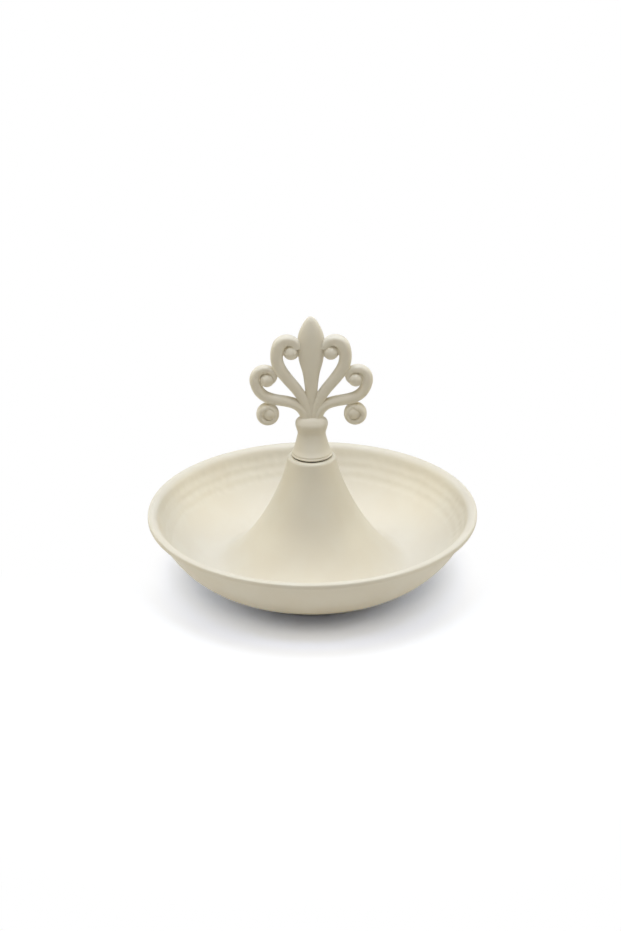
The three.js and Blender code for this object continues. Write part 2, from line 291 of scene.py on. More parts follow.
@dataclass(frozen=True)
class ZincPlate:
    """Bright zinc plate: bluish grey metal with dull patches and fine rub marks."""

    colour: Colour = (0.66, 0.67, 0.69)
    dull: Colour = (0.5, 0.5, 0.5)
    roughness: float = 0.26
    patch_size: float = 2.4
    rub_size: float = 0.8
    rub_stretch: float = 6.0
    rub_depth: float = 0.02

    def material(self) -> bpy.types.Material:
        """The plate as a material.

        Returns:
            The new material.
        """
        made = bpy.data.materials.new("zinc_plate")
        graph = Graph(made)
        place = graph.place()
        patch = graph.noise(place, self.patch_size, 4.0).ramp(0.42, 0.68)
        stretch = graph.node("ShaderNodeMapping", None, {"Vector": place, "Scale": (1.0, 1.0, self.rub_stretch)})
        rub = graph.noise(stretch, self.rub_size, 3.0)
        graph.coat(
            {
                "Base Color": graph.blend(patch * 0.7, self.colour, self.dull),
                "Metallic": 1.0,
                "Roughness": self.roughness + 0.2 * patch + 0.1 * rub,
                "Normal": graph.bump(rub, self.rub_depth, 0.3),
            }
        )
        return made


class Finish(Enum):
    """The object's finishes, each under the name of the material slot that it dresses."""

    COAT = "cream_coat"
    GASKET = "gasket_rubber"
    PAD = "pad_rubber"
    ZINC = "zinc_steel"


def finishes() -> dict[Finish, bpy.types.Material]:
    """Makes the materials.

    Returns:
        The material of each finish.
    """
    gasket = Rubber("gasket_rubber", (0.018, 0.017, 0.015), (0.05, 0.048, 0.044), 0.72)
    pad = Rubber("pad_rubber", swatch(196, 193, 184), swatch(178, 174, 164), 0.42, 0.6)
    return {
        Finish.COAT: CreamCoat().material(),
        Finish.GASKET: gasket.material(),
        Finish.PAD: pad.material(),
        Finish.ZINC: ZincPlate().material(),
    }


# Curves and meshes


def polar(length: float, degrees: float) -> np.ndarray:
    """A flat vector of a length, at an angle counted from the first axis."""
    turn = math.radians(degrees)
    return np.array([length * math.cos(turn), length * math.sin(turn)])


def steps_round(count: int) -> np.ndarray:
    """The angles, in radians, of even steps round a full turn."""
    return np.linspace(0, 2 * math.pi, count, endpoint=False)


def level_ring(
    radius: np.ndarray | float, height: np.ndarray | float, turns: np.ndarray, centre: Sequence[float] = (0.0, 0.0)
) -> np.ndarray:
    """Points round an upright axis.

    Args:
        radius: Distance from the axis, for all points or for each.
        height: Height, for all points or for each.
        turns: The angle of each point.
        centre: Where the axis stands.

    Returns:
        One row for each point.
    """
    x, y = centre[0] + radius * np.cos(turns), centre[1] + radius * np.sin(turns)
    return np.column_stack([x, y, height + 0 * turns])


def arc(centre: Sequence[float], radius: float, start: float, end: float, count: int = 48) -> np.ndarray:
    """Points on a flat arc from one angle, in degrees, to another."""
    turns = np.radians(np.linspace(start, end, count))
    return np.asarray(centre) + radius * np.column_stack([np.cos(turns), np.sin(turns)])


def cubic(corners: Sequence[Sequence[float]], count: int = 240) -> np.ndarray:
    """Points on a cubic curve.

    Args:
        corners: Start, the two control points, and end.
        count: How many points, spread evenly along the curve.

    Returns:
        One row for each point.
    """
    a, b, c, d = (np.asarray(corner, float) for corner in corners)
    t = np.linspace(0, 1, 4 * count)[:, None]
    points = (1 - t) ** 3 * a + 3 * (1 - t) ** 2 * t * b + 3 * (1 - t) * t**2 * c + t**3 * d
    return spaced(points, count)


def bent(start: Sequence[float], corner: Sequence[float], end: Sequence[float], count: int = 8) -> np.ndarray:
    """Points on a curve that leaves its start towards a corner and reaches its end from there."""
    t = np.linspace(0, 1, count)[:, None]
    return (1 - t) ** 2 * np.asarray(start) + 2 * t * (1 - t) * np.asarray(corner) + t**2 * np.asarray(end)


def bulged(wave: np.ndarray, square: np.ndarray) -> np.ndarray:
    """A cosine or sine bent for a superellipse: square 2 leaves an ellipse, more makes it boxier."""
    return np.sign(wave) * np.abs(wave) ** (2 / square)


def lengths(points: np.ndarray) -> np.ndarray:
    """How far along a line of points each of them is."""
    return np.concatenate([[0.0], np.cumsum(np.linalg.norm(np.diff(points, axis=0), axis=1))])


def spaced(points: np.ndarray, count: int) -> np.ndarray:
    """Spreads points evenly along a line.

    Args:
        points: The line's points.
        count: How many points there are to be.

    Returns:
        The same line through count points.
    """
    along = lengths(points)
    wanted = np.linspace(0, along[-1], count)
    return np.column_stack([np.interp(wanted, along, column) for column in points.T])


def directions(points: np.ndarray) -> np.ndarray:
    """The unit direction of a line at each of its points."""
    step = np.gradient(points, axis=0)
    return step / np.linalg.norm(step, axis=1, keepdims=True)


def beside(points: np.ndarray, distance: float) -> np.ndarray:
    """A flat line moved to its right by a distance."""
    step = directions(points)
    return points + distance * np.column_stack([step[:, 1], -step[:, 0]])


def eased(points: np.ndarray, spread: float) -> np.ndarray:
    """A closed line with its corners rounded off, as a coat of paint rounds them.

    Args:
        points: The line's points, spread evenly.
        spread: How many points each side take part in the rounding.

    Returns:
        As many points as before.
    """
    reach = math.ceil(3 * spread)
    offsets = np.arange(-reach, reach + 1)
    weights = np.exp(-0.5 * (offsets / spread) ** 2)
    weights /= weights.sum()
    return sum(w * np.roll(points, o, axis=0) for w, o in zip(weights, offsets))


@dataclass
class Skin:
    """Vertices, in millimetres, and the faces between them."""

    points: np.ndarray
    faces: Faces

    def joined(self, other: Skin) -> Skin:
        """Both skins as one, without welding them."""
        moved = [tuple(i + len(self.points) for i in face) for face in other.faces]
        return Skin(np.vstack([self.points, other.points]), self.faces + moved)

    def lifted(self, height: float) -> Skin:
        """The skin moved up."""
        return Skin(self.points + np.array([0.0, 0.0, height]), self.faces)

    def object(self, name: str) -> bpy.types.Object:
        """Makes an object of the skin, in metres, with smooth shading.

        Args:
            name: The object's name.

        Returns:
            The object, linked to the scene.
        """
        mesh = bpy.data.meshes.new(name)
        mesh.from_pydata((self.points * MM).tolist(), [], self.faces)
        mesh.validate()
        mesh.shade_smooth()
        made = bpy.data.objects.new(name, mesh)
        bpy.context.scene.collection.objects.link(made)
        return made


def quads(rows: int, sides: int, wrap: bool) -> Faces:
    """Faces of a grid of rings.

    Args:
        rows: How many rings there are.
        sides: How many points are in each ring.
        wrap: Whether the last ring joins the first.

    Returns:
        The faces, with their outsides facing out for rings that run anticlockwise going up.
    """
    faces = []
    for row in range(rows if wrap else rows - 1):
        low, high = row * sides, (row + 1) % rows * sides
        for side in range(sides):
            after = (side + 1) % sides
            faces.append((low + side, low + after, high + after, high + side))
    return faces


def loft(rings: np.ndarray) -> Skin:
    """A skin through rings of points, closed by a cap at each end.

    Args:
        rings: Points by ring, side and axis.

    Returns:
        The closed skin.
    """
    rows, sides, _ = rings.shape
    last = (rows - 1) * sides
    caps = [tuple(reversed(range(sides))), tuple(range(last, last + sides))]
    return Skin(rings.reshape(-1, 3), quads(rows, sides, wrap=False) + caps)


def turned(profile: np.ndarray, sides: int) -> Skin:
    """A closed profile of radius and height turned about the vertical axis.

    Args:
        profile: The profile's points, which go round clockwise with the axis on their left.
        sides: How many steps make a full turn.

    Returns:
        The turned skin.
    """
    turns = steps_round(sides)
    radius, height = profile[:, :1], profile[:, 1:]
    points = np.stack([radius * np.cos(turns), radius * np.sin(turns), height + 0 * turns], axis=-1)
    return Skin(points.reshape(-1, 3), [face[::-1] for face in quads(len(profile), sides, wrap=True)])


def bevelled(corners: Sequence[Sequence[float]], radius: float, steps: int = 4) -> np.ndarray:
    """A closed outline with each corner replaced by an arc-like curve.

    Args:
        corners: The outline's sharp corners.
        radius: How far from each corner its curve starts.
        steps: How many points each curve has.

    Returns:
        The rounded outline.
    """
    made = []
    for i, corner in enumerate(np.asarray(corners, float)):
        before = np.asarray(corners[i - 1], float) - corner
        after = np.asarray(corners[(i + 1) % len(corners)], float) - corner
        start = corner + before / np.linalg.norm(before) * radius
        end = corner + after / np.linalg.norm(after) * radius
        made.append(bent(start, corner, end, steps))
    return np.vstack(made)


def dress(
    piece: bpy.types.Object, node: str, body: str, finish: Finish, materials: Mapping[Finish, bpy.types.Material]
) -> None:
    """Gives a piece its finish and puts it in the place of a node of the frame.

    Args:
        piece: The piece, already where it belongs.
        node: The node that it stands for.
        body: The body that it moves with.
        finish: What it is finished in.
        materials: The material of each finish.
    """
    piece.data.materials.append(materials[finish])
    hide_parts(node)
    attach(piece, body)
    LOG.info("%s: %d faces, %s", piece.name, len(piece.data.polygons), finish.value)


# Sub-assemblies


@dataclass
class Dish:
    """The cast dish: rolled lip, wall with three hammered bands, trough, trumpet with a flat top, and foot ring.

    Rings lie closer together where the section bends: it turns by ring_turn radians from ring to ring, within the
    bounds of ring_gap. Across the hammered bands they have band_finer times as many sides.
    """

    rim_radius: float = 125.0
    rim_height: float = 54.8
    lip_width: float = 7.9
    lip_rise: float = 4.6
    lip_curl: float = 3.4
    lip_reach: float = 3.6
    lip_droop: float = 0.3
    lip_tilt: float = 4.0
    edge_height: float = 4.6
    edge_round: float = 1.4
    wall: float = 3.0
    wall_slope: float = 70.0
    wall_curl: float = 24.0
    wall_spread: float = 16.0
    trough_radius: float = 74.0
    trough_height: float = 10.0
    trough_spread: float = 18.0
    top_height: float = 98.0
    top_radius: float = 18.3
    top_plate: float = 4.0
    shoulder: float = 2.6
    trumpet_reach: float = 30.0
    trumpet_flare: float = 9.0
    foot_radius: float = 72.0
    foot_width: float = 7.0
    foot_draft: float = 0.8
    foot_underside: float = 1.6
    hole_radius: float = 3.3
    band_count: int = 3
    band_width: float = 8.3
    band_depth: float = 0.14
    band_inset: float = 4.0
    dent_spacing: float = 4.6
    dent_size: float = 5.2
    dent_depth: float = 0.16
    dent_sway: float = 0.4
    dent_wander: float = 0.25
    dent_sizes: tuple[float, float] = (0.75, 1.25)
    dent_depths: tuple[float, float] = (0.4, 1.0)
    fine_step: float = 0.2
    coat_round: float = 0.5
    ring_turn: float = 0.09
    ring_gap: tuple[float, float] = (0.35, 2.4)
    band_gap: float = 0.6
    sides: int = 360
    band_finer: int = 3
    seed: int = 7

    def trumpet_line(self) -> np.ndarray:
        """The upper side of the trumpet.

        Returns:
            Points from the shoulder of the flat top down to the trough.
        """
        centre = np.array([self.top_radius - self.shoulder, self.top_height - self.shoulder])
        start = centre + polar(self.shoulder, self.trumpet_flare)
        trough = np.array([self.trough_radius, self.trough_height])
        first = start + polar(self.trumpet_reach, self.trumpet_flare - 90)
        return cubic([start, first, trough - [self.trough_spread, 0], trough], 600)

    def wall_top(self) -> np.ndarray:
        """Where the wall's upper side ends and the lip starts."""
        return np.array([self.rim_radius - self.lip_width, self.rim_height - self.lip_rise])

    def wall_line(self) -> np.ndarray:
        """The upper side of the wall.

        Returns:
            Points from the trough up to the lip.
        """
        trough = np.array([self.trough_radius, self.trough_height])
        second = self.wall_top() - polar(self.wall_curl, self.wall_slope)
        return cubic([trough, trough + [self.wall_spread, 0], second, self.wall_top()], 400)

    def lip_line(self) -> np.ndarray:
        """The lip's section.

        Returns:
            Points over its crown, down to its edge, round the edge and back towards the outer wall.
        """
        top = self.rim_height - self.lip_droop
        bottom = top - self.edge_height
        inner, outer = self.rim_radius - self.edge_round, self.rim_radius
        edge = np.array([inner, top])
        first = self.wall_top() + polar(self.lip_curl, self.wall_slope)
        crown = cubic([self.wall_top(), first, edge - polar(self.lip_reach, -self.lip_tilt), edge], 80)
        upper = bent(edge, [outer, top], [outer, top - self.edge_round])
        return np.vstack([crown, upper[1:], bent([outer, bottom + self.edge_round], [outer, bottom], [inner, bottom])])

    def foot_line(self, hollow: np.ndarray) -> tuple[np.ndarray, np.ndarray]:
        """The foot ring's section, and the hollow's side cut off where the foot meets it.

        Args:
            hollow: The trumpet's underside, from the top down.

        Returns:
            The foot's corners, from outside to inside, and the hollow's points inside the foot.
        """
        inner = self.foot_radius - self.foot_width
        inside = hollow[hollow[:, 0] < inner - self.foot_draft]
        root = [self.foot_radius + self.foot_draft, self.trough_height - self.wall]
        return np.array([root, [self.foot_radius, self.foot_underside], [inner, self.foot_underside]]), inside

    def outline(self) -> tuple[np.ndarray, np.ndarray]:
        """The whole section as a closed line at the fine step.

        Returns:
            The eased points, and for each the distance below the lip along the hammered wall, or -1 elsewhere.
        """
        trumpet, wall = self.trumpet_line(), self.wall_line()
        outside = beside(wall, self.wall)
        hollow = beside(trumpet, self.wall)
        under = self.top_height - self.top_plate
        foot, inside = self.foot_line(hollow[hollow[:, 1] < under])
        centre = [self.top_radius - self.shoulder, self.top_height - self.shoulder]
        plate = np.array([[inside[0, 0], under], [self.hole_radius, under], [self.hole_radius, self.top_height]])
        shoulder = arc(centre, self.shoulder, 90, self.trumpet_flare)
        before = np.vstack([shoulder, trumpet[1:]])
        after = np.vstack([self.lip_line()[1:], outside[::-1], foot, inside[::-1], plate, shoulder[:1]])
        line = np.vstack([before, wall[1:], after])
        below = np.concatenate([[-1.0] * len(before), lengths(wall)[-1] - lengths(wall)[1:], [-1.0] * len(after)])
        along = lengths(line)
        wanted = np.arange(0, along[-1], self.fine_step)
        fine = np.column_stack([np.interp(wanted, along, column) for column in line.T])
        band = np.interp(wanted, along, below)
        return eased(fine, self.coat_round / self.fine_step), band

    def rows(self) -> tuple[np.ndarray, np.ndarray, np.ndarray]:
        """The section's points that become rings: close together where it bends and in the bands.

        Returns:
            The points, their outward directions, and their distance below the lip or -1.
        """
        line, band = self.outline()
        step = np.roll(line, -1, axis=0) - np.roll(line, 1, axis=0)
        heading = np.unwrap(np.arctan2(step[:, 1], step[:, 0]))
        bend = np.abs(np.gradient(heading)) / self.fine_step
        gap = np.clip(self.ring_turn / np.maximum(eased(bend, 4.0), 1e-6), *self.ring_gap)
        hammered = (band >= 0) & (band <= self.band_count * self.band_width)
        gap[hammered] = np.minimum(gap[hammered], self.band_gap)
        density = np.concatenate([[0.0], np.cumsum(self.fine_step / gap)])[:-1]
        total = math.ceil(density[-1])
        chosen = np.searchsorted(density, np.linspace(0, density[-1], total, endpoint=False))
        unit = step / np.linalg.norm(step, axis=1, keepdims=True)
        outward = np.column_stack([-unit[:, 1], unit[:, 0]])
        return line[chosen], outward[chosen], np.where(hammered, band, -1.0)[chosen]

    def dents(self, below: np.ndarray, turns: np.ndarray) -> np.ndarray:
        """How deep the bands and the hammer marks in them are.

        Args:
            below: Distance of each row below the lip.
            turns: Angle of each step round the dish.

        Returns:
            Depth by row and step. The first band fades in from the lip.
        """
        rng = np.random.default_rng(self.seed)
        marks = np.zeros((len(below), len(turns)))
        for band in range(self.band_count):
            radius = self.rim_radius - self.lip_width - self.band_inset * (band + 0.5)
            count = round(2 * math.pi * radius / self.dent_spacing)
            places = (np.arange(count) + rng.uniform(-self.dent_sway, self.dent_sway, count)) * 2 * math.pi / count
            wander = rng.uniform(-self.dent_wander, self.dent_wander, count)
            middles = (band + 0.5) * self.band_width + wander * self.band_width
            sizes = self.dent_size * rng.uniform(*self.dent_sizes, (count, 2))
            deeps = self.dent_depth * rng.uniform(*self.dent_depths, count)
            for place, middle, (across, tall), deep in zip(places, middles, sizes, deeps):
                side = radius * ((turns - place + math.pi) % (2 * math.pi) - math.pi)
                near = np.abs(side) < across
                mark = 1 - (side[near] / across) ** 2 - (((below - middle) / tall) ** 2)[:, None]
                marks[:, near] += deep * np.maximum(mark, 0.0) ** 2
        fade = np.minimum(below / self.band_width, 1.0)
        cove = self.band_depth * fade * np.sin(math.pi * below / self.band_width) ** 2
        return cove[:, None] + marks

    def skin(self) -> Skin:
        """The dish's surface, with finer rings in the hammered bands.

        Returns:
            The closed skin.
        """
        points, outward, below = self.rows()
        hammered = below >= 0
        counts = np.where(hammered, self.sides * self.band_finer, self.sides)
        rings: dict[int, np.ndarray] = {}
        for own, sides in ((~hammered, self.sides), (hammered, self.sides * self.band_finer)):
            turns = steps_round(sides)
            depth = self.dents(below[own], turns) if own is hammered else np.zeros((own.sum(), sides))
            radius = points[own, :1] - outward[own, :1] * depth
            height = points[own, 1:] - outward[own, 1:] * depth
            made = np.stack([radius * np.cos(turns), radius * np.sin(turns), height], axis=-1)
            rings.update(zip(np.flatnonzero(own), made))
        starts = np.concatenate([[0], np.cumsum(counts)])
        faces: Faces = []
        for row in range(len(points)):
            following = (row + 1) % len(points)
            faces += self.strip(starts[row], counts[row], starts[following], counts[following])
        return Skin(np.vstack([rings[row] for row in range(len(points))]), faces)

    @staticmethod
    def strip(low: int, low_count: int, high: int, high_count: int) -> Faces:
        """Faces between two rings, of which one may have several times as many points as the other.

        Args:
            low: Index of the first ring's first point.
            low_count: How many points the first ring has.
            high: Index of the second ring's first point.
            high_count: How many points the second ring has.

        Returns:
            The faces of the strip.
        """
        sides = min(low_count, high_count)
        low_step, high_step = low_count // sides, high_count // sides
        faces = []
        for side in range(sides):
            first = [low + (side * low_step + i) % low_count for i in range(low_step + 1)]
            second = [high + (side * high_step + i) % high_count for i in range(high_step + 1)]
            faces.append(tuple(int(i) for i in [*second, *reversed(first)]))
        return faces

    def build(self, materials: Mapping[Finish, bpy.types.Material]) -> None:
        """Makes the dish and dresses it."""
        dress(self.skin().object("dish_casting"), "dish", "dish", Finish.COAT, materials)


@dataclass(frozen=True)
class Section:
    """A level section of an upright form: a superellipse, boxier where square is more than 2."""

    height: float
    width: float
    depth: float
    square: float = 2.0


@dataclass(frozen=True)
class Rod:
    """How thick and deep a scroll's rod is along its way, as half measures.

    Its section goes from root_square at its root to square at its crown: 2 is an ellipse, less is ridged and more is
    boxier.
    """

    root: float
    stem: float
    crown: float
    tip: float
    depth: float
    square: float
    root_square: float = 2.0

    def on_stem(self, count: int) -> np.ndarray:
        """The rod's sizes from its root to its crown.

        Args:
            count: At how many points.

        Returns:
            Half thickness, half depth and squareness at each point.
        """
        t = np.linspace(0, 1, count)
        thick = (1 - t) ** 2 * self.root + 2 * t * (1 - t) * self.stem + t**2 * self.crown
        deep = self.root + (self.depth - self.root) * t
        return np.column_stack([thick, deep, self.root_square + (self.square - self.root_square) * t])

    def on_spiral(self, t: np.ndarray) -> np.ndarray:
        """The rod's sizes from its crown to its tip.

        Args:
            t: Share of the way, for each point.

        Returns:
            Half thickness, half depth and squareness at each point.
        """
        thick = self.crown + (self.tip - self.crown) * t
        deep = self.depth * (1 + thick / self.crown) / 2
        return np.column_stack([thick, deep, 0 * t + self.square])


@dataclass(frozen=True)
class Scroll:
    """One scroll: a stem from its root to its eye, a spiral about the eye, and a ball at its end."""

    root: tuple[float, float]
    root_angle: float
    root_reach: float
    eye_reach: float
    eye: tuple[float, float]
    start_radius: float
    end_radius: float
    start_angle: float
    sweep: float
    rod: Rod
    ball: tuple[float, float]
    ball_radius: float
    stem_rings: int = 60
    spiral_rings: int = 90
    rod_sides: int = 48
    ball_rings: int = 20
    ball_sides: int = 28
    ball_pole: float = 88.0

    def path(self) -> tuple[np.ndarray, np.ndarray]:
        """The way of the rod in the scroll's plane.

        Returns:
            Its centre line, and its half thickness, half depth and squareness along it.
        """
        t = np.linspace(0, 1, self.spiral_rings)
        radius = self.start_radius + (self.end_radius - self.start_radius) * t**3
        turns = np.radians(self.start_angle + self.sweep * t)
        spiral = np.asarray(self.eye) + radius[:, None] * np.column_stack([np.cos(turns), np.sin(turns)])
        arrival = polar(self.eye_reach, self.start_angle + math.copysign(90, self.sweep))
        first = np.asarray(self.root) + polar(self.root_reach, self.root_angle)
        stem = cubic([self.root, first, spiral[0] - arrival, spiral[0]], self.stem_rings)
        return np.vstack([stem, spiral[1:]]), np.vstack([self.rod.on_stem(len(stem)), self.rod.on_spiral(t)[1:]])

    def skins(self, side: int, scale: float) -> list[Skin]:
        """The rod and the ball.

        Args:
            side: 1 on the right, -1 on the left.
            scale: What they are multiplied by.

        Returns:
            The two closed skins.
        """
        line, sizes = self.path()
        thick, deep, square = sizes.T[:, :, None]
        step = directions(line)
        turns = steps_round(self.rod_sides) * side
        across, out = thick * bulged(np.cos(turns), square), deep * bulged(np.sin(turns), square)
        x = side * (line[:, :1] - step[:, 1:] * across)
        rings = np.stack([x, out, line[:, 1:] + step[:, :1] * across], axis=-1)
        middle, height = side * self.ball[0], self.ball[1]
        levels = np.radians(np.linspace(-self.ball_pole, self.ball_pole, self.ball_rings))
        round_ball = steps_round(self.ball_sides)
        ball = [
            level_ring(self.ball_radius * np.cos(a), height + self.ball_radius * np.sin(a), round_ball, (middle, 0.0))
            for a in levels
        ]
        return [loft(scale * rings), loft(scale * np.array(ball))]


@dataclass
class Finial:
    """The cast finial: round foot, collar, spear, and two large scrolls and a volute each side."""

    seat_height: float = 98.9
    height: float = 109.1
    foot_radius: float = 15.3
    foot_band: float = 1.9
    bore_radius: float = 3.3
    bore_depth: float = 14.9
    bore_point: float = 1.8
    bore_tip: float = 0.2
    neck_sides: int = 96
    spear_sides: int = 48
    voxel: float = 0.3
    smoothing: int = 3
    spear: tuple[Section, ...] = (
        Section(24.0, 2.0, 2.0),
        Section(38.0, 3.0, 3.2),
        Section(51.0, 4.5, 4.0),
        Section(63.7, 6.1, 4.5),
        Section(75.5, 9.0, 5.2),
        Section(88.0, 9.6, 5.5),
        Section(93.5, 9.4, 5.3),
        Section(98.5, 7.9, 4.8),
        Section(102.6, 5.9, 4.0),
        Section(105.7, 4.0, 3.0),
        Section(107.7, 2.1, 1.7),
        Section(108.6, 0.5, 0.5),
    )
    scrolls: tuple[Scroll, ...] = (
        Scroll(
            (2.0, 28.0), 88, 29.0, 24.6, (16.6, 82.9), 7.5, 6.8, 19, 150,
            Rod(3.6, 4.1, 4.8, 2.8, 5.2, 3.0), (14.5, 81.2), 5.9,
        ),
        Scroll(
            (3.6, 28.0), 79, 25.6, 25.6, (33.0, 60.2), 8.4, 3.4, -10, 232,
            Rod(4.2, 4.1, 4.0, 1.5, 4.4, 2.4, 1.6), (32.6, 59.8), 5.6,
        ),
        Scroll(
            (27.0, 39.6), -2, 3.0, 2.0, (32.3, 32.5), 5.7, 6.6, 80, -337,
            Rod(2.2, 2.6, 3.1, 2.1, 5.0, 2.2), (31.0, 33.6), 5.5,
        ),
    )

    def scale(self) -> float:
        """What the drawn forms are multiplied by to reach the finial's height."""
        return self.height / self.spear[-1].height

    def neck_sections(self) -> tuple[Section, ...]:
        """The foot, flare, waist and collar.

        Returns:
            Their sections, from the bottom up.
        """
        foot, band = self.foot_radius, self.foot_band
        return (
            Section(0.0, foot - 0.5, foot - 0.5),
            Section(0.5, foot, foot),
            Section(band - 0.6, foot, foot),
            Section(band, foot - 0.9, foot - 0.9),
            Section(band + 0.7, foot - 0.5, foot - 0.6),
            Section(5.7, 13.3, 12.4),
            Section(11.8, 11.6, 9.6, 2.2),
            Section(16.6, 10.5, 8.1, 2.5),
            Section(19.2, 10.7, 7.9, 2.6),
            Section(24.6, 12.1, 8.7, 2.5),
            Section(28.0, 11.1, 7.0, 2.4),
            Section(30.0, 8.6, 4.6, 2.3),
        )

    @staticmethod
    def upright(sections: Sequence[Section], sides: int, steps: int = 10) -> np.ndarray:
        """Rings of an upright form, eased between its sections.

        Args:
            sections: The form's sections, from the bottom up.
            sides: How many points each ring has.
            steps: How many rings lead from one section to the next.

        Returns:
            Points by ring, side and axis.
        """
        keys = np.array([[s.height, s.width, s.depth, s.square] for s in sections])
        padded = np.vstack([2 * keys[0] - keys[1], keys, 2 * keys[-1] - keys[-2]])
        t = np.linspace(0, 1, steps, endpoint=False)[:, None]
        parts = []
        for a, b, c, d in zip(padded, padded[1:], padded[2:], padded[3:]):
            v0, v1 = (c - a) / 2, (d - b) / 2
            parts.append((2 * b - 2 * c + v0 + v1) * t**3 + (-3 * b + 3 * c - 2 * v0 - v1) * t**2 + v0 * t + b)
        eased_keys = np.vstack([*parts, keys[-1:]])
        turns = steps_round(sides)
        square = eased_keys[:, 3:]
        x = eased_keys[:, 1:2] * bulged(np.cos(turns), square)
        y = eased_keys[:, 2:3] * bulged(np.sin(turns), square)
        return np.stack([x, y, eased_keys[:, :1] + 0 * turns], axis=-1)

    def neck(self) -> Skin:
        """The neck and collar, with the screw's bore in its underside.

        Returns:
            The closed skin, standing on height 0.
        """
        outer = self.scale() * self.upright(self.neck_sections(), self.neck_sides)
        turns = steps_round(self.neck_sides)
        bore = [(self.bore_tip, self.bore_depth + self.bore_point)]
        bore += [(self.bore_radius, h) for h in np.linspace(self.bore_depth, 0, 24)]
        bore += [(r, 0.0) for r in np.linspace(self.bore_radius, outer[0, 0, 0], 12)[1:-1]]
        rings = [level_ring(r, h, turns) for r, h in bore]
        return loft(np.concatenate([np.array(rings), outer]))

    def build(self, materials: Mapping[Finish, bpy.types.Material]) -> None:
        """Fuses the finial's forms into one casting with soft inner corners, and dresses it.

        Args:
            materials: The material of each finish.
        """
        whole = self.neck().joined(loft(self.scale() * self.upright(self.spear, self.spear_sides)))
        for scroll in self.scrolls:
            for side in (1, -1):
                for skin in scroll.skins(side, self.scale()):
                    whole = whole.joined(skin)
        rough = whole.lifted(self.seat_height).object("finial_forms")
        fused = rough.modifiers.new("fuse", "REMESH")
        fused.mode = "VOXEL"
        fused.voxel_size = self.voxel * MM
        soft = rough.modifiers.new("soften", "SMOOTH")
        soft.factor = 0.5
        soft.iterations = self.smoothing
        view = bpy.context.evaluated_depsgraph_get()
        mesh = bpy.data.meshes.new_from_object(rough.evaluated_get(view))
        bpy.data.objects.remove(rough)
        mesh.shade_smooth()
        mesh.materials.clear()
        casting = bpy.data.objects.new("finial_casting", mesh)
        bpy.context.scene.collection.objects.link(casting)
        dress(casting, "finial", "finial", Finish.COAT, materials)


